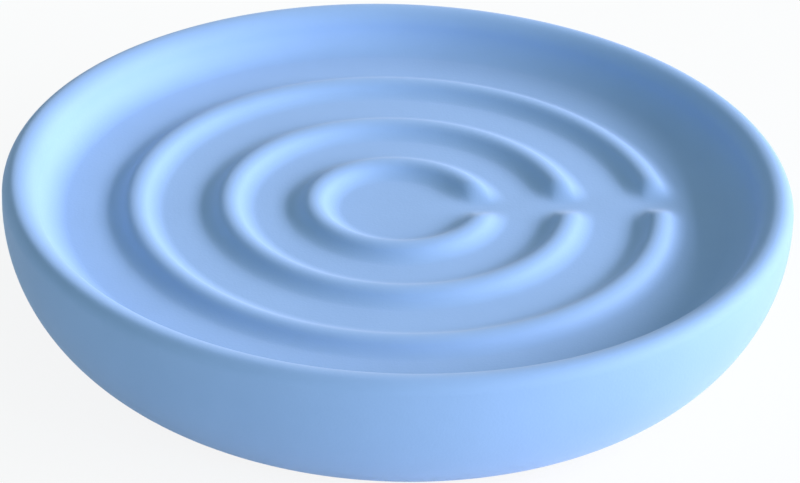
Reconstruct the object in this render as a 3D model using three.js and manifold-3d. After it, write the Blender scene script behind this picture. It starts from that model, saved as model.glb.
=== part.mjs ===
// A round cast-ceramic soap dish with a soft-touch lacquer.
// Broken ridges ring its shallow tray, and a drain channel runs outward through them.
// Millimetres, +Z up. The origin is under the middle of the dish, on the surface it stands on.
// +X runs along the drain channel.
import * as THREE from 'three';
import { mergeVertices, toCreasedNormals } from 'three/addons/utils/BufferGeometryUtils.js';
import Module from 'manifold-3d';

// Overall sizes
const dishDiameter = 120;
const dishHeight = 25;

// Lip and tray
const lipBand = 3.2;
const lipOuterRadius = 2;
const lipInnerRadius = 3.3;
const trayDepth = 5.9;
const trayFilletRadius = 4.8;

// Ridges that hold the soap up, and the channel that breaks them
const ridgeCount = 3;
const ridgeHeight = 1.65;
const ridgeHalfWidth = 4.5;
const ridgeCrestRadius = 2.8;
const innerRidgeRadius = 12.9;
const outerRidgeMargin = 10.3;
const ridgeSpread = 1.055;
const channelWidth = 6.3;
const ridgeEndRun = 5.4;

// Belly, foot ring and the hollow left when the casting is drained
const footInset = 13;
const footEdgeRadius = 3;
const footRingWidth = 5;
const footRingHeight = 1.2;
const footRingDraft = 0.8;
const wallThickness = 4.5;
const cavityCornerRadius = 3;
const cavityCornerLimit = 0.45;
const ventDiameter = 10;

// Feet under the base
const padCount = 4;
const padDiameter = 10;
const padEdgeRadius = 1;
const padInset = 9;
const padLift = 1;
const padSeatDepth = 0.6;
const padSeatClearance = 0.3;

// Stopper in the vent
const plugFlangeOverhang = 2.5;
const plugFlangeThickness = 1;
const plugFlangeRound = 0.4;
const plugClearance = 0.2;
const plugBeadOverhang = 0.6;
const plugBeadHeight = 1.6;
const plugBeadShoulder = 0.4;
const plugBeadGap = 0.15;
const plugWall = 1.3;

// Facets
const facetSag = 0.04;
const bodySides = 72;
const bodySideCrowding = 0.6;
const cavitySides = 40;
const smallSides = 32;
const smoothAngle = Math.PI / 6;
const weldDistance = 1e-4;

// Heights and radii that follow from the sizes above
const dishRadius = dishDiameter / 2;
const lipCrestRadius = dishRadius - lipOuterRadius;
const shoulderHeight = dishHeight - lipBand;
const trayFloor = dishHeight - trayDepth;
const footPlane = padLift;
const basePlane = footPlane + footRingHeight;
const cavityFloor = basePlane + wallThickness;
const cavityCeiling = trayFloor - wallThickness;
const footFlatRadius = dishRadius - footInset;
const recessRadius = footFlatRadius - footRingWidth;
const ventRadius = ventDiameter / 2;

// The lip's inner round and the tray's fillet meet at one tangent point.
const trayWallSum = lipInnerRadius + trayFilletRadius;
const trayWallRise = trayWallSum - trayDepth;
const trayFlatRadius = lipCrestRadius - Math.sqrt(trayWallSum ** 2 - trayWallRise ** 2);
const trayWallTurn = Math.acos(trayWallRise / trayWallSum);

// The belly is one arc, upright at the shoulder and tangent to the foot's rounded edge.
const bellyDrop = shoulderHeight - footPlane - footEdgeRadius;
const bellyRadius =
  (footInset ** 2 + bellyDrop ** 2 - footEdgeRadius ** 2) / (2 * (footInset - footEdgeRadius));
const bellyCentreRadius = dishRadius - bellyRadius;
const bellyTurn = Math.atan2(bellyDrop, footFlatRadius - bellyCentreRadius);

// A ridge is a round crest between two hollow fillets, all tangent to each other and the floor.
const ridgeTurn = 2 * Math.atan(ridgeHeight / ridgeHalfWidth);
const ridgeFilletRadius = ridgeHalfWidth / Math.sin(ridgeTurn) - ridgeCrestRadius;
const outerRidgeRadius = trayFlatRadius - outerRidgeMargin;
const ridgeFieldRadius = outerRidgeRadius + ridgeHalfWidth;

const halfTurn = Math.PI;
const quarterTurn = Math.PI / 2;

const wasm = await Module();
wasm.setup();

// Points of an arc in the plane of radius and height, close enough that no chord sags too far.
function arc(centreRadius, centreHeight, radius, start, end) {
  const facetTurn = 2 * Math.acos(1 - facetSag / radius);
  const steps = Math.ceil(Math.abs(end - start) / facetTurn);
  const curve = new THREE.EllipseCurve(
    centreRadius, centreHeight, radius, radius, start, end, end < start);
  return curve.getPoints(steps);
}

// Turns an outline of radius and height round the upright axis, its first line along +X.
function turned(outline, sides) {
  const geometry = new THREE.LatheGeometry(outline, sides, quarterTurn);
  geometry.rotateX(quarterTurn);
  geometry.deleteAttribute('normal');
  geometry.deleteAttribute('uv');
  return mergeVertices(geometry, weldDistance);
}

function solid(geometry) {
  const mesh = new wasm.Mesh({
    numProp: 3,
    vertProperties: geometry.getAttribute('position').array,
    triVerts: geometry.index.array,
  });
  return new wasm.Manifold(mesh);
}

function geometryOf(body) {
  const mesh = body.getMesh();
  const geometry = new THREE.BufferGeometry();
  geometry.setAttribute('position', new THREE.BufferAttribute(mesh.vertProperties, 3));
  geometry.setIndex(new THREE.BufferAttribute(mesh.triVerts, 1));
  return geometry;
}

function piece(name, geometry, material) {
  const mesh = new THREE.Mesh(toCreasedNormals(geometry, smoothAngle), material);
  mesh.name = name;
  return mesh;
}

// One ridge across the tray, from its inner foot to its outer foot.
function ridgeOutline(crestRadius) {
  const filletHeight = trayFloor + ridgeFilletRadius;
  const crestHeight = trayFloor + ridgeHeight - ridgeCrestRadius;
  const innerFoot = crestRadius - ridgeHalfWidth;
  const outerFoot = crestRadius + ridgeHalfWidth;
  return [
    ...arc(innerFoot, filletHeight, ridgeFilletRadius, -quarterTurn, ridgeTurn - quarterTurn),
    ...arc(crestRadius, crestHeight, ridgeCrestRadius,
      quarterTurn + ridgeTurn, quarterTurn - ridgeTurn).slice(1, -1),
    ...arc(outerFoot, filletHeight, ridgeFilletRadius,
      halfTurn + quarterTurn - ridgeTurn, halfTurn + quarterTurn),
  ];
}

// Tray, lip, belly and foot as one outline, from the middle of the base to the middle of the tray.
function bodyOutline() {
  const ridges = [];
  for (let i = 0; i < ridgeCount; i += 1) {
    const share = (i / (ridgeCount - 1)) ** ridgeSpread;
    const crestRadius = innerRidgeRadius + share * (outerRidgeRadius - innerRidgeRadius);
    ridges.push(...ridgeOutline(crestRadius));
  }
  const foot = arc(footFlatRadius, footPlane + footEdgeRadius, footEdgeRadius,
    -quarterTurn, -bellyTurn);
  const belly = arc(bellyCentreRadius, shoulderHeight, bellyRadius, -bellyTurn, 0);
  const lipOutside = arc(lipCrestRadius, dishHeight - lipOuterRadius, lipOuterRadius,
    0, quarterTurn);
  const lipInside = arc(lipCrestRadius, dishHeight - lipInnerRadius, lipInnerRadius,
    quarterTurn, quarterTurn + trayWallTurn);
  const trayFillet = arc(trayFlatRadius, trayFloor + trayFilletRadius, trayFilletRadius,
    trayWallTurn - quarterTurn, -quarterTurn);
  return [
    new THREE.Vector2(0, basePlane),
    new THREE.Vector2(recessRadius - footRingDraft, basePlane),
    new THREE.Vector2(recessRadius, footPlane),
    ...foot,
    ...belly.slice(1),
    ...lipOutside,
    ...lipInside.slice(1),
    ...trayFillet.slice(1),
    ...ridges.reverse(),
    new THREE.Vector2(0, trayFloor),
  ];
}

// Draws the turned lines closer together along X, where the ridges end.
function crowdLines(geometry) {
  const position = geometry.getAttribute('position');
  for (let i = 0; i < position.count; i += 1) {
    const radius = Math.hypot(position.getX(i), position.getY(i));
    const angle = Math.atan2(position.getY(i), position.getX(i));
    const drawn = angle - (bodySideCrowding / 2) * Math.sin(2 * angle);
    position.setX(i, radius * Math.cos(drawn));
    position.setY(i, radius * Math.sin(drawn));
  }
  return geometry;
}

// Lowers the ridges to the tray floor across the channel, so that each ends in a smooth nose.
function openChannel(geometry) {
  const position = geometry.getAttribute('position');
  const noseStart = (channelWidth - ridgeEndRun) / 2;
  const noseEnd = (channelWidth + ridgeEndRun) / 2;
  for (let i = 0; i < position.count; i += 1) {
    const radius = Math.hypot(position.getX(i), position.getY(i));
    const rise = position.getZ(i) - trayFloor;
    if (position.getX(i) > 0 && radius < ridgeFieldRadius && rise > 0) {
      const kept = THREE.MathUtils.smoothstep(Math.abs(position.getY(i)), noseStart, noseEnd);
      position.setZ(i, trayFloor + kept * rise);
    }
  }
  return geometry;
}

// The drained hollow, an even wall inside the belly, with the vent that opens it through the base.
function cavityOutline() {
  const cornerLimit = cavityCornerLimit * (cavityCeiling - cavityFloor);
  const corner = Math.min(cavityCornerRadius, cornerLimit);
  const reach = bellyRadius - wallThickness - corner;
  const lowDrop = shoulderHeight - cavityFloor - corner;
  const highDrop = shoulderHeight - cavityCeiling + corner;
  const lowRadius = bellyCentreRadius + Math.sqrt(reach ** 2 - lowDrop ** 2);
  const highRadius = bellyCentreRadius + Math.sqrt(reach ** 2 - highDrop ** 2);
  const lowTurn = Math.asin(lowDrop / reach);
  const highTurn = Math.asin(highDrop / reach);
  return [
    new THREE.Vector2(0, footPlane),
    new THREE.Vector2(ventRadius, footPlane),
    new THREE.Vector2(ventRadius, cavityFloor),
    ...arc(lowRadius, cavityFloor + corner, corner, -quarterTurn, -lowTurn),
    ...arc(highRadius, cavityCeiling - corner, corner, -highTurn, quarterTurn),
    new THREE.Vector2(0, cavityCeiling),
  ];
}

function padPlaces() {
  const circle = recessRadius - padInset;
  return Array.from({ length: padCount }, (_, i) => {
    const angle = ((i + 0.5) / padCount) * 2 * Math.PI;
    return new THREE.Vector3(circle * Math.cos(angle), circle * Math.sin(angle), 0);
  });
}

// A shallow round seat for a pad, cut up into the base.
function padSeat(place) {
  const seatRadius = padDiameter / 2 + padSeatClearance;
  const seat = turned([
    new THREE.Vector2(0, footPlane),
    new THREE.Vector2(seatRadius, footPlane),
    new THREE.Vector2(seatRadius, basePlane + padSeatDepth),
    new THREE.Vector2(0, basePlane + padSeatDepth),
  ], smallSides);
  return seat.translate(place.x, place.y, place.z);
}

function padGeometry() {
  const padRadius = padDiameter / 2;
  const padTop = basePlane + padSeatDepth;
  return turned([
    new THREE.Vector2(0, 0),
    ...arc(padRadius - padEdgeRadius, padEdgeRadius, padEdgeRadius, -quarterTurn, 0),
    new THREE.Vector2(padRadius, padTop),
    new THREE.Vector2(0, padTop),
  ], smallSides);
}

// A soft cup pressed through the vent: its flange lies under the base, its bead grips inside.
function plugGeometry() {
  const flangeRadius = ventRadius + plugFlangeOverhang;
  const flangeBottom = basePlane - plugFlangeThickness;
  const stemRadius = ventRadius - plugClearance;
  const beadRadius = ventRadius + plugBeadOverhang;
  const beadBottom = cavityFloor + plugBeadGap;
  const beadTop = beadBottom + plugBeadHeight;
  const boreRadius = stemRadius - plugWall;
  return turned([
    new THREE.Vector2(0, flangeBottom),
    ...arc(flangeRadius - plugFlangeRound, flangeBottom + plugFlangeRound, plugFlangeRound,
      -quarterTurn, 0),
    new THREE.Vector2(flangeRadius, basePlane),
    new THREE.Vector2(stemRadius, basePlane),
    new THREE.Vector2(stemRadius, beadBottom),
    new THREE.Vector2(beadRadius, beadBottom + plugBeadShoulder),
    new THREE.Vector2(stemRadius, beadTop),
    new THREE.Vector2(boreRadius, beadTop),
    new THREE.Vector2(boreRadius, basePlane + plugWall),
    new THREE.Vector2(0, basePlane + plugWall),
  ], smallSides);
}

const lacqueredCeramic = new THREE.MeshStandardMaterial({
  color: '#98b8ee', roughness: 0.55, metalness: 0 });
const clearSilicone = new THREE.MeshStandardMaterial({
  color: '#dde2e6', roughness: 0.4, metalness: 0 });
const softPolythene = new THREE.MeshStandardMaterial({
  color: '#e6e8ea', roughness: 0.5, metalness: 0 });

const places = padPlaces();
const turnedBody = turned(bodyOutline(), bodySides);
let body = solid(openChannel(crowdLines(turnedBody)));
body = body.subtract(solid(turned(cavityOutline(), cavitySides)));
for (const place of places) {
  body = body.subtract(solid(padSeat(place)));
}

const soapDish = new THREE.Group();
soapDish.add(piece('dish_body', geometryOf(body), lacqueredCeramic));
soapDish.add(piece('vent_plug', plugGeometry(), softPolythene));
places.forEach((place, i) => {
  const pad = piece(`foot_pad_${i + 1}`, padGeometry(), clearSilicone);
  pad.position.copy(place);
  soapDish.add(pad);
});

export default soapDish;
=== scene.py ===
import math

import bmesh
import bpy
import numpy as np
from mathutils import Euler, Matrix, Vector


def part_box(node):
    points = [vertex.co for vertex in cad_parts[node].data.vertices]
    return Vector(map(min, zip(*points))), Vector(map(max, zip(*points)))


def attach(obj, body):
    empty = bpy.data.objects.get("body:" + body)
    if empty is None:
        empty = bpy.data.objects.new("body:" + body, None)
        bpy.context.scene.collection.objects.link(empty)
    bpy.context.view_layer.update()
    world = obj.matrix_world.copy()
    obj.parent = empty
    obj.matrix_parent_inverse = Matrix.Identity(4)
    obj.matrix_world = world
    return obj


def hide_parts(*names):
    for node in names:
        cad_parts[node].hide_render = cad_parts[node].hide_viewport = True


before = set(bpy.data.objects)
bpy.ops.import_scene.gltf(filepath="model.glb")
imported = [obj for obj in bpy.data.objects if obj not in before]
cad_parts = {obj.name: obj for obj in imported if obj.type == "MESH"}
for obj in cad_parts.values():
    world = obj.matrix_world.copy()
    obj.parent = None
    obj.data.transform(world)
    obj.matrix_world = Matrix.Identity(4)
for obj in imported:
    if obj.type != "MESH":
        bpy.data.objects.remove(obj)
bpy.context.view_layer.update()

# Dish body
# One slip-cast earthenware piece, drained hollow through a vent in its base and fired.
# A matt soft-touch lacquer in pastel blue is sprayed all over it and rounds every edge.
mm = 0.001
quarter = math.pi / 2
whole = 2 * math.pi
body_low, body_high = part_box("dish_body")
dish_radius = body_high[0]
lip_top = body_high[2]
foot_plane = body_low[2]

lip_band = 3.2 * mm
lip_outer_radius = 2.0 * mm
lip_inner_radius = 3.3 * mm
tray_depth = 5.9 * mm
tray_fillet_radius = 4.8 * mm
ridge_count = 3
ridge_height = 1.65 * mm
ridge_half_width = 4.5 * mm
ridge_crest_radius = 2.8 * mm
inner_ridge_radius = 12.9 * mm
outer_ridge_margin = 10.3 * mm
ridge_spread = 1.055
channel_width = 6.3 * mm
ridge_end_run = 5.4 * mm
foot_inset = 13.0 * mm
foot_edge_radius = 3.0 * mm
foot_ring_width = 5.0 * mm
foot_ring_height = 1.2 * mm
foot_ring_draft = 0.8 * mm
wall_thickness = 4.5 * mm
cavity_corner = 3.0 * mm
vent_radius = 5.0 * mm
seat_count = 4
seat_radius = 5.3 * mm
seat_depth = 0.6 * mm
seat_margin = 1.0 * mm
seat_sector = math.radians(60)
pad_inset = 9.0 * mm

lip_crest_radius = dish_radius - lip_outer_radius
shoulder = lip_top - lip_band
tray_floor = lip_top - tray_depth
base_plane = foot_plane + foot_ring_height
foot_flat_radius = dish_radius - foot_inset
recess_radius = foot_flat_radius - foot_ring_width
pad_circle = recess_radius - pad_inset
seat_band_outer = pad_circle + seat_radius + seat_margin
seat_band_inner = pad_circle - seat_radius - seat_margin

# The belly's arc is upright at the shoulder and tangent to the rounded edge of the foot.
belly_drop = shoulder - foot_plane - foot_edge_radius
belly_radius = ((foot_inset**2 + belly_drop**2 - foot_edge_radius**2)
                / (2 * (foot_inset - foot_edge_radius)))
belly_turn = math.atan2(belly_drop, belly_radius - foot_inset)

# The tray's wall is two arcs that turn alike: the cosine is one less the depth over the sum of their radii.
# So the first leaves the floor level, and the second reaches the lip's crest level.
wall_sum = lip_inner_radius + tray_fillet_radius
wall_turn = math.acos((wall_sum - tray_depth) / wall_sum)
tray_flat_radius = lip_crest_radius - wall_sum * math.sin(wall_turn)

# How many lines run round the dish, and how many points draw each curve.
body_lines = 432
ridge_fillet_points = 9
ridge_crest_points = 15
tray_fillet_points = 16
lip_inner_points = 14
lip_outer_points = 11
belly_points = 26
foot_edge_points = 9
cavity_floor_points = 5
cavity_ceiling_points = 11
seat_rings = 7
seat_band_points = 13


def arc(centre_radius, centre_height, radius, start, end, count):
    """An arc in the plane of radius and height: its centre, plus its radius times the cosine and the sine
    of evenly spaced angles."""
    angle = np.linspace(start, end, count)
    return np.stack((centre_radius + radius * np.cos(angle), centre_height + radius * np.sin(angle)), axis=1)


def ridge_outline(crest_radius):
    """One ridge from its inner foot to its outer foot: a hollow fillet, a round crest and a hollow fillet.
    A fillet turns by twice the angle whose tangent is height over half width, and the crest turns as much
    to either side of its top, so all three are tangent."""
    turn = 2 * math.atan(ridge_height / ridge_half_width)
    fillet = ridge_half_width / math.sin(turn) - ridge_crest_radius
    fillet_height = tray_floor + fillet
    crest_height = tray_floor + ridge_height - ridge_crest_radius
    inner = arc(crest_radius - ridge_half_width, fillet_height, fillet,
                -quarter, turn - quarter, ridge_fillet_points)
    crest = arc(crest_radius, crest_height, ridge_crest_radius,
                quarter + turn, quarter - turn, ridge_crest_points)
    outer = arc(crest_radius + ridge_half_width, fillet_height, fillet,
                3 * quarter - turn, 3 * quarter, ridge_fillet_points)
    return np.concatenate((inner, crest[1:-1], outer))


def tray_and_belly_outline():
    """From the middle of the tray over the ridges, the wall, the lip and the belly to the foot ring and its
    recess. A crest's place between the first ridge and the last is its even share raised to the spread,
    a power a little above one, so the outer gap is the wider."""
    outer_ridge_radius = tray_flat_radius - outer_ridge_margin
    share = np.linspace(0, 1, ridge_count) ** ridge_spread
    crests = inner_ridge_radius + share * (outer_ridge_radius - inner_ridge_radius)
    return np.concatenate((
        [(0, tray_floor)],
        *(ridge_outline(crest) for crest in crests),
        arc(tray_flat_radius, tray_floor + tray_fillet_radius, tray_fillet_radius,
            -quarter, wall_turn - quarter, tray_fillet_points),
        arc(lip_crest_radius, lip_top - lip_inner_radius, lip_inner_radius,
            quarter + wall_turn, quarter, lip_inner_points)[1:],
        arc(lip_crest_radius, lip_top - lip_outer_radius, lip_outer_radius,
            quarter, 0, lip_outer_points)[1:],
        arc(dish_radius - belly_radius, shoulder, belly_radius,
            0, -belly_turn, belly_points),
        arc(foot_flat_radius, foot_plane + foot_edge_radius, foot_edge_radius,
            -belly_turn, -quarter, foot_edge_points)[1:],
        [(recess_radius, foot_plane)],
        [(recess_radius - foot_ring_draft, base_plane)],
        [(seat_band_outer, base_plane)],
    ))


def vent_and_cavity_outline():
    """From inside the pads' circle to the vent, up through it, and round the hollow to its ceiling's middle.
    The hollow's two corner arcs have their centres on the belly's arc drawn in by the wall and the corner."""
    floor_height = base_plane + wall_thickness
    ceiling = tray_floor - wall_thickness
    reach = belly_radius - wall_thickness - cavity_corner
    low_turn = math.asin((shoulder - floor_height - cavity_corner) / reach)
    high_turn = math.asin((shoulder - ceiling + cavity_corner) / reach)
    centre = dish_radius - belly_radius
    return np.concatenate((
        [(seat_band_inner, base_plane)],
        [(vent_radius, base_plane)],
        [(vent_radius, floor_height)],
        arc(centre + reach * math.cos(low_turn), floor_height + cavity_corner, cavity_corner,
            -quarter, -low_turn, cavity_floor_points),
        arc(centre + reach * math.cos(high_turn), ceiling - cavity_corner, cavity_corner,
            -high_turn, quarter, cavity_ceiling_points),
        [(0, ceiling)],
    ))


def turned(outline, angle):
    """Carries an outline round the upright axis: its radius times the cosine and the sine of each angle,
    and its height as it is."""
    x = outline[:, :1] * np.cos(angle)
    y = outline[:, :1] * np.sin(angle)
    z = outline[:, 1:] + 0 * angle
    return np.stack((x, y, z), axis=2)


def break_ridges(grid):
    """Lowers the ridges to the tray floor across the channel. What is kept of a ridge's height is the smooth
    step 3 s s - 2 s s s, where s goes from nought to one, away from the channel's middle line, over the run
    of the ridge's end."""
    x = grid[..., 0]
    y = grid[..., 1]
    z = grid[..., 2]
    share = np.clip((np.abs(y) - (channel_width - ridge_end_run) / 2) / ridge_end_run, 0, 1)
    kept = share * share * (3 - 2 * share)
    on_ridge = (x > 0) & (z > tray_floor) & (np.hypot(x, y) < tray_flat_radius)
    grid[..., 2] = np.where(on_ridge, tray_floor + kept * (z - tray_floor), z)
    return grid


def seat_patch(centre_angle):
    """The base round one pad seat: straight lines run from points on the edge of a ring sector to points at
    the same bearing on the seat's rim, then up its wall and in to the middle of its ceiling."""
    half = seat_sector / 2
    along = np.linspace(-half, half, round(body_lines * seat_sector / whole) + 1)
    side = np.full(seat_band_points - 1, half)
    edge_angle = centre_angle + np.concatenate((along[:-1], side, along[:0:-1], -side))
    edge_radius = np.concatenate((
        np.full(len(along) - 1, seat_band_outer), seat_band_radii[:-1],
        np.full(len(along) - 1, seat_band_inner), seat_band_radii[:0:-1]))
    edge = np.stack((edge_radius * np.cos(edge_angle), edge_radius * np.sin(edge_angle)), axis=1)
    middle = pad_circle * np.array((math.cos(centre_angle), math.sin(centre_angle)))
    bearing = (edge - middle) / np.linalg.norm(edge - middle, axis=1, keepdims=True)
    rim = middle + seat_radius * bearing
    share = np.linspace(0, 1, seat_rings)[:, None, None]
    flat = edge + share * (rim - edge)
    rings = np.concatenate((flat, rim[None], middle + 0 * rim[None]))
    height = np.full((*rings.shape[:2], 1), base_plane)
    height[seat_rings:] += seat_depth
    return np.concatenate((rings, height), axis=2)


def grid_faces(rows, columns, start, wrap):
    """The four corners of every cell of a grid, row by row: row number times columns, plus column number,
    plus the first vertex's number. With wrap, the last column is joined to the first."""
    cells_across = columns if wrap else columns - 1
    row, column = np.meshgrid(np.arange(rows - 1), np.arange(cells_across), indexing="ij")
    after = (column + 1) % columns
    corners = (row * columns + column, (row + 1) * columns + column,
               (row + 1) * columns + after, row * columns + after)
    return start + np.stack([corner.ravel() for corner in corners], axis=1)


def skin(name, grids, sharp_angle=math.radians(40), weld=0.001 * mm):
    """A smooth closed mesh of several grids, given as pairs of points and wrap, welded where they meet."""
    points = []
    faces = []
    start = 0
    for grid, wrap in grids:
        rows, columns = grid.shape[:2]
        points.append(grid.reshape(-1, 3))
        faces.append(grid_faces(rows, columns, start, wrap))
        start += rows * columns
    mesh = bpy.data.meshes.new(name)
    mesh.from_pydata(np.concatenate(points).tolist(), [], np.concatenate(faces).tolist())
    shell = bmesh.new()
    shell.from_mesh(mesh)
    bmesh.ops.remove_doubles(shell, verts=shell.verts, dist=weld)
    shell.to_mesh(mesh)
    shell.free()
    mesh.shade_smooth()
    mesh.set_sharp_from_angle(angle=sharp_angle)
    piece = bpy.data.objects.new(name, mesh)
    bpy.context.scene.collection.objects.link(piece)
    return piece


def linear(hex_colour):
    """An sRGB hex colour as linear red, green, blue and full alpha."""
    channel = np.array([int(hex_colour[i:i + 2], 16) for i in (1, 3, 5)]) / 255
    low = channel / 12.92
    high = ((channel + 0.055) / 1.055) ** 2.4
    return (*np.where(channel <= 0.04045, low, high), 1.0)


def add_node(owner, kind, values=None, links=None, **settings):
    """A node of that kind in a material or world, with its settings, socket values and incoming links.
    A socket goes by its name, or by its number where several share a name."""
    node = owner.node_tree.nodes.new(kind)
    for name, value in settings.items():
        setattr(node, name, value)
    for name, value in (values or {}).items():
        node.inputs[name].default_value = value
    for name, source in (links or {}).items():
        owner.node_tree.links.new(source, node.inputs[name])
    return node


def new_material(name):
    """An empty node material, returned with its output node."""
    material = bpy.data.materials.new(name)
    material.use_nodes = True
    material.node_tree.nodes.clear()
    return material, add_node(material, "ShaderNodeOutputMaterial")


# Numbers of the Mix node's sockets for the first colour, the second colour and the mixed one.
mix_first = 6
mix_second = 7
mix_result = 2


def soft_touch_lacquer():
    """Matt polyurethane lacquer sprayed over earthenware. Spraying leaves a faint orange-peel wave a few
    millimetres long and a velvety grit. The grit is drawn at 0.4 mm, coarser than it is, so that it shows.
    The coat varies a little in depth of colour, and a light sheen pales it where it is seen edge on."""
    material, output = new_material("soft_touch_lacquer_on_earthenware")
    cloud_size = 16 * mm
    peel_size = 3.5 * mm
    peel_height = 0.02 * mm
    grit_size = 0.4 * mm
    grit_height = 0.02 * mm
    place = {"Vector": add_node(material, "ShaderNodeTexCoord").outputs["Object"]}
    cloud = add_node(material, "ShaderNodeTexNoise", {"Scale": 1 / cloud_size, "Detail": 3}, place)
    peel = add_node(material, "ShaderNodeTexNoise", {"Scale": 1 / peel_size, "Detail": 1}, place)
    grit = add_node(material, "ShaderNodeTexNoise", {"Scale": 1 / grit_size, "Detail": 2}, place)
    colour = add_node(material, "ShaderNodeMix",
                      {mix_first: linear("#90b3e6"), mix_second: linear("#9abdf0")},
                      {"Factor": cloud.outputs["Fac"]}, data_type="RGBA")
    rough = add_node(material, "ShaderNodeMapRange", {"To Min": 0.65, "To Max": 0.75},
                     {"Value": grit.outputs["Fac"]})
    wave = add_node(material, "ShaderNodeBump", {"Strength": 1.0, "Distance": peel_height},
                    {"Height": peel.outputs["Fac"]})
    grain = add_node(material, "ShaderNodeBump", {"Strength": 1.0, "Distance": grit_height},
                     {"Height": grit.outputs["Fac"], "Normal": wave.outputs["Normal"]})
    coat = add_node(material, "ShaderNodeBsdfPrincipled",
                    {"IOR": 1.47, "Sheen Weight": 0.2, "Sheen Roughness": 0.5},
                    {"Base Color": colour.outputs[mix_result], "Roughness": rough.outputs["Result"],
                     "Normal": grain.outputs["Normal"]})
    material.node_tree.links.new(coat.outputs["BSDF"], output.inputs["Surface"])
    return material


round_angles = np.linspace(0, whole, body_lines, endpoint=False)
seat_spacing = whole / seat_count
seat_centres = seat_spacing / 2 + np.arange(seat_count) * seat_spacing
seat_band_radii = np.linspace(seat_band_outer, seat_band_inner, seat_band_points)
seat_band = np.stack((seat_band_radii, np.full(seat_band_points, base_plane)), axis=1)
plain_sector = seat_spacing - seat_sector
plain_angles = np.linspace(-plain_sector / 2, plain_sector / 2, round(body_lines * plain_sector / whole) + 1)
body = skin("cast_dish", [
    (break_ridges(turned(tray_and_belly_outline(), round_angles)), True),
    *((turned(seat_band, centre - seat_spacing / 2 + plain_angles), False) for centre in seat_centres),
    *((seat_patch(centre), True) for centre in seat_centres),
    (turned(vent_and_cavity_outline(), round_angles), True),
])
body.data.materials.append(soft_touch_lacquer())
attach(body, "root")
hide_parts("dish_body")

# Vent plug
# A soft polythene stopper, moulded as a thin cup, pressed up through the vent.
# Its flange lies under the base and its bead springs out behind the wall.
plug_flange_overhang = 2.5 * mm
plug_flange_thickness = 1.0 * mm
plug_flange_round = 0.4 * mm
plug_clearance = 0.2 * mm
plug_bead_overhang = 0.6 * mm
plug_bead_height = 1.6 * mm
plug_bead_shoulder = 0.4 * mm
plug_bead_gap = 0.15 * mm
plug_wall = 1.3 * mm
plug_flange_points = 8
small_lines = 96


def plug_outline():
    """From the middle of the cup's floor up its wall, over the bead, down the stem, and round the flange's
    quarter arc to the middle of its underside. All the other stretches are straight."""
    flange = vent_radius + plug_flange_overhang
    bottom = base_plane - plug_flange_thickness
    stem = vent_radius - plug_clearance
    bead_bottom = base_plane + wall_thickness + plug_bead_gap
    bead_top = bead_bottom + plug_bead_height
    cup_floor = base_plane + plug_wall
    return np.concatenate((
        [(0, cup_floor)],
        [(stem - plug_wall, cup_floor)],
        [(stem - plug_wall, bead_top)],
        [(stem, bead_top)],
        [(vent_radius + plug_bead_overhang, bead_bottom + plug_bead_shoulder)],
        [(stem, bead_bottom)],
        [(stem, base_plane)],
        [(flange, base_plane)],
        arc(flange - plug_flange_round, bottom + plug_flange_round, plug_flange_round,
            0, -quarter, plug_flange_points),
        [(0, bottom)],
    ))


def moulded_polythene():
    """Natural low-density polythene: milky white, waxy, with the faint uneven gloss of a moulded face."""
    material, output = new_material("moulded_natural_polythene")
    blotch_size = 1.5 * mm
    blotch_height = 0.02 * mm
    glow_depth = 1.2 * mm
    place = {"Vector": add_node(material, "ShaderNodeTexCoord").outputs["Object"]}
    blotch = add_node(material, "ShaderNodeTexNoise", {"Scale": 1 / blotch_size, "Detail": 3}, place)
    colour = add_node(material, "ShaderNodeMix",
                      {mix_first: linear("#dfe1e0"), mix_second: linear("#eaebe9")},
                      {"Factor": blotch.outputs["Fac"]}, data_type="RGBA")
    rough = add_node(material, "ShaderNodeMapRange", {"To Min": 0.42, "To Max": 0.56},
                     {"Value": blotch.outputs["Fac"]})
    relief = add_node(material, "ShaderNodeBump", {"Strength": 1.0, "Distance": blotch_height},
                      {"Height": blotch.outputs["Fac"]})
    wax = add_node(material, "ShaderNodeBsdfPrincipled",
                   {"IOR": 1.51, "Subsurface Weight": 0.15, "Subsurface Radius": [glow_depth] * 3},
                   {"Base Color": colour.outputs[mix_result], "Roughness": rough.outputs["Result"],
                    "Normal": relief.outputs["Normal"]})
    material.node_tree.links.new(wax.outputs["BSDF"], output.inputs["Surface"])
    return material


small_angles = np.linspace(0, whole, small_lines, endpoint=False)
plug = skin("vent_stopper", [(turned(plug_outline(), small_angles), True)])
plug.data.materials.append(moulded_polythene())
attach(plug, "root")
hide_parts("vent_plug")

# Foot pads
# Small moulded silicone buttons, stuck into the shallow round seats under the base.
# Their flat undersides carry the dish and keep the hard foot ring off the counter.
pad_radius = 5.0 * mm
pad_edge_radius = 1.0 * mm
pad_edge_points = 12


def pad_outline():
    """From the middle of the stuck face down the straight side and round the soft lower edge's quarter arc
    to the middle of the flat underside."""
    top = base_plane + seat_depth
    return np.concatenate((
        [(0, top)],
        [(pad_radius, top)],
        arc(pad_radius - pad_edge_radius, pad_edge_radius, pad_edge_radius,
            0, -quarter, pad_edge_points),
        [(0, 0)],
    ))


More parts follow.
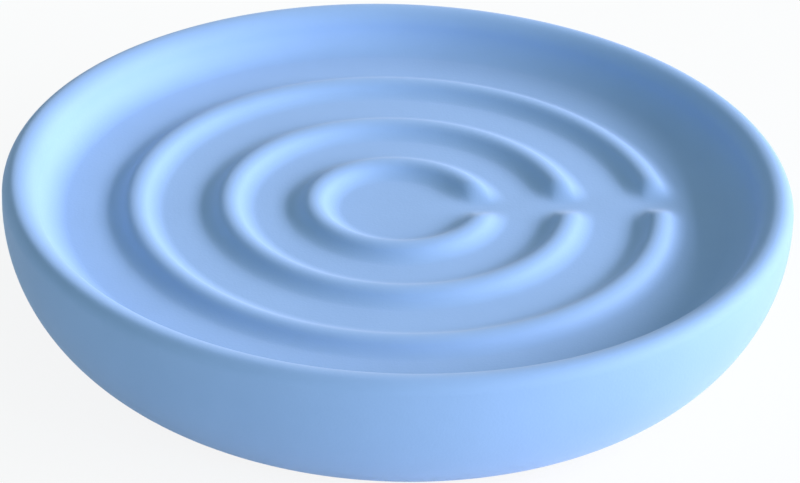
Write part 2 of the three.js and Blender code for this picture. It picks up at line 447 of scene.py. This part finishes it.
def clear_silicone():
    """Translucent silicone rubber: milky, soft-edged and satin, with a little dust on its skin."""
    material, output = new_material("translucent_silicone_rubber")
    dust_size = 0.8 * mm
    glow_depth = 1.5 * mm
    place = {"Vector": add_node(material, "ShaderNodeTexCoord").outputs["Object"]}
    dust = add_node(material, "ShaderNodeTexNoise", {"Scale": 1 / dust_size, "Detail": 4}, place)
    colour = add_node(material, "ShaderNodeMix",
                      {mix_first: linear("#d3d9dd"), mix_second: linear("#e4e9ec")},
                      {"Factor": dust.outputs["Fac"]}, data_type="RGBA")
    rough = add_node(material, "ShaderNodeMapRange", {"To Min": 0.3, "To Max": 0.5},
                     {"Value": dust.outputs["Fac"]})
    rubber = add_node(material, "ShaderNodeBsdfPrincipled",
                      {"IOR": 1.41, "Transmission Weight": 0.25,
                       "Subsurface Weight": 0.2, "Subsurface Radius": [glow_depth] * 3},
                      {"Base Color": colour.outputs[mix_result], "Roughness": rough.outputs["Result"]})
    material.node_tree.links.new(rubber.outputs["BSDF"], output.inputs["Surface"])
    return material


silicone = clear_silicone()
for number, centre in enumerate(seat_centres, start=1):
    button = turned(pad_outline(), small_angles)
    button += (pad_circle * math.cos(centre), pad_circle * math.sin(centre), 0)
    pad = skin(f"silicone_foot_{number}", [(button, True)])
    pad.data.materials.append(silicone)
    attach(pad, "root")
    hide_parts(f"foot_pad_{number}")

# Table
# A plain white sheet under the dish. The camera sees it mostly as bare white paper,
# and the rest of it is an ordinary matt surface that takes the dish's soft shadow.
table_half = 3.0
table_gap = 0.05 * mm
bare_share = 0.88
white = linear("#ffffff")


def seen_directly(owner):
    """One on rays from the camera and on those that a gloss or glass sends on, and nought on all others."""
    path = add_node(owner, "ShaderNodeLightPath")
    clear = add_node(owner, "ShaderNodeMath", links={
        0: path.outputs["Is Camera Ray"], 1: path.outputs["Is Transmission Ray"]}, operation="MAXIMUM")
    seen = add_node(owner, "ShaderNodeMath", links={
        0: clear.outputs["Value"], 1: path.outputs["Is Glossy Ray"]}, operation="MAXIMUM")
    return seen.outputs["Value"]


def white_paper():
    """Matt white card. Seen directly it is mixed with plain white, so that only a soft shadow is left."""
    material, output = new_material("matt_white_card")
    card = add_node(material, "ShaderNodeBsdfDiffuse", {"Color": linear("#f6f6f6")})
    bare = add_node(material, "ShaderNodeEmission", {"Color": white, "Strength": 1.0})
    share = add_node(material, "ShaderNodeMath", {1: bare_share}, {0: seen_directly(material)},
                     operation="MULTIPLY")
    mix = add_node(material, "ShaderNodeMixShader", links={
        0: share.outputs["Value"], 1: card.outputs["BSDF"], 2: bare.outputs["Emission"]})
    material.node_tree.links.new(mix.outputs["Shader"], output.inputs["Surface"])
    return material


table_signs = np.array(((-1, -1, 0), (1, -1, 0), (1, 1, 0), (-1, 1, 0)))
table_corners = table_half * table_signs - (0, 0, table_gap)
table_mesh = bpy.data.meshes.new("table_top")
table_mesh.from_pydata(table_corners.tolist(), [], [(0, 1, 2, 3)])
table_mesh.materials.append(white_paper())
table = bpy.data.objects.new("table_top", table_mesh)
bpy.context.scene.collection.objects.link(table)

# Light
# A long low row of windows on the right and a weak wide reflector in front, both soft panels,
# with the even glow of a pale room. Their slight tints follow the photograph's white balance.
view_azimuth = math.radians(-6.4)
window_bearing = view_azimuth + math.radians(2)
window_elevation = math.radians(21.6)
window_distance = 4.0
window_width = 6.8
window_height = 0.84
window_power = 325.0
window_tint = "#f4f4ff"
reflector_bearing = view_azimuth - math.radians(64)
reflector_elevation = math.radians(10)
reflector_distance = 2.5
reflector_width = 4.2
reflector_height = 1.2
reflector_power = 13.0
reflector_tint = "#e3f6ff"
room_glow = 0.37
room_tint = "#e2fff9"


def soft_panel(name, bearing, elevation, distance, width, height, power, tint):
    """A rectangular area lamp at that bearing and elevation from the dish, facing it."""
    lamp = bpy.data.lights.new(name, "AREA")
    lamp.shape = "RECTANGLE"
    lamp.size = width
    lamp.size_y = height
    lamp.energy = power
    lamp.color = linear(tint)[:3]
    panel = bpy.data.objects.new(name, lamp)
    panel.location = (distance * math.cos(elevation) * math.cos(bearing),
                      distance * math.cos(elevation) * math.sin(bearing),
                      distance * math.sin(elevation))
    panel.rotation_euler = (quarter - elevation, 0, bearing + quarter)
    bpy.context.scene.collection.objects.link(panel)


soft_panel("window", window_bearing, window_elevation, window_distance,
           window_width, window_height, window_power, window_tint)
soft_panel("reflector", reflector_bearing, reflector_elevation, reflector_distance,
           reflector_width, reflector_height, reflector_power, reflector_tint)

room = bpy.data.worlds.new("pale_room")
room.use_nodes = True
room.node_tree.nodes.clear()
glow = add_node(room, "ShaderNodeBackground", {"Color": linear(room_tint), "Strength": room_glow})
wall = add_node(room, "ShaderNodeBackground", {"Color": white, "Strength": 1.0})
around = add_node(room, "ShaderNodeMixShader", links={
    0: seen_directly(room), 1: glow.outputs["Background"], 2: wall.outputs["Background"]})
add_node(room, "ShaderNodeOutputWorld", links={"Surface": around.outputs["Shader"]})
bpy.context.scene.world = room
bpy.context.scene.view_settings.view_transform = "Standard"

# Camera
# A long lens a little above the dish, turned so that the drain channel points to the right.
# Its height, distance, roll and focal length were solved from the circles of the ridges and the lip.
view_elevation = math.radians(29.82)
view_roll = math.radians(2.17)
view_distance = 604.5 * mm
view_aim = np.array((0.56 * mm, 0, 13.45 * mm))
film_width_in_mm = 36
focal_length_in_mm = 177.5
lens = bpy.data.cameras.new("long_lens")
lens.sensor_width = film_width_in_mm
lens.lens = focal_length_in_mm
camera = bpy.data.objects.new("long_lens", lens)
view_back = np.array((math.sin(view_azimuth) * math.cos(view_elevation),
                      -math.cos(view_azimuth) * math.cos(view_elevation),
                      math.sin(view_elevation)))
facing = Euler((quarter - view_elevation, 0, view_azimuth)).to_matrix().to_4x4()
camera.matrix_world = (Matrix.Translation(view_aim + view_distance * view_back)
                       @ facing @ Matrix.Rotation(view_roll, 4, "Z"))
bpy.context.scene.collection.objects.link(camera)
bpy.context.scene.camera = camera
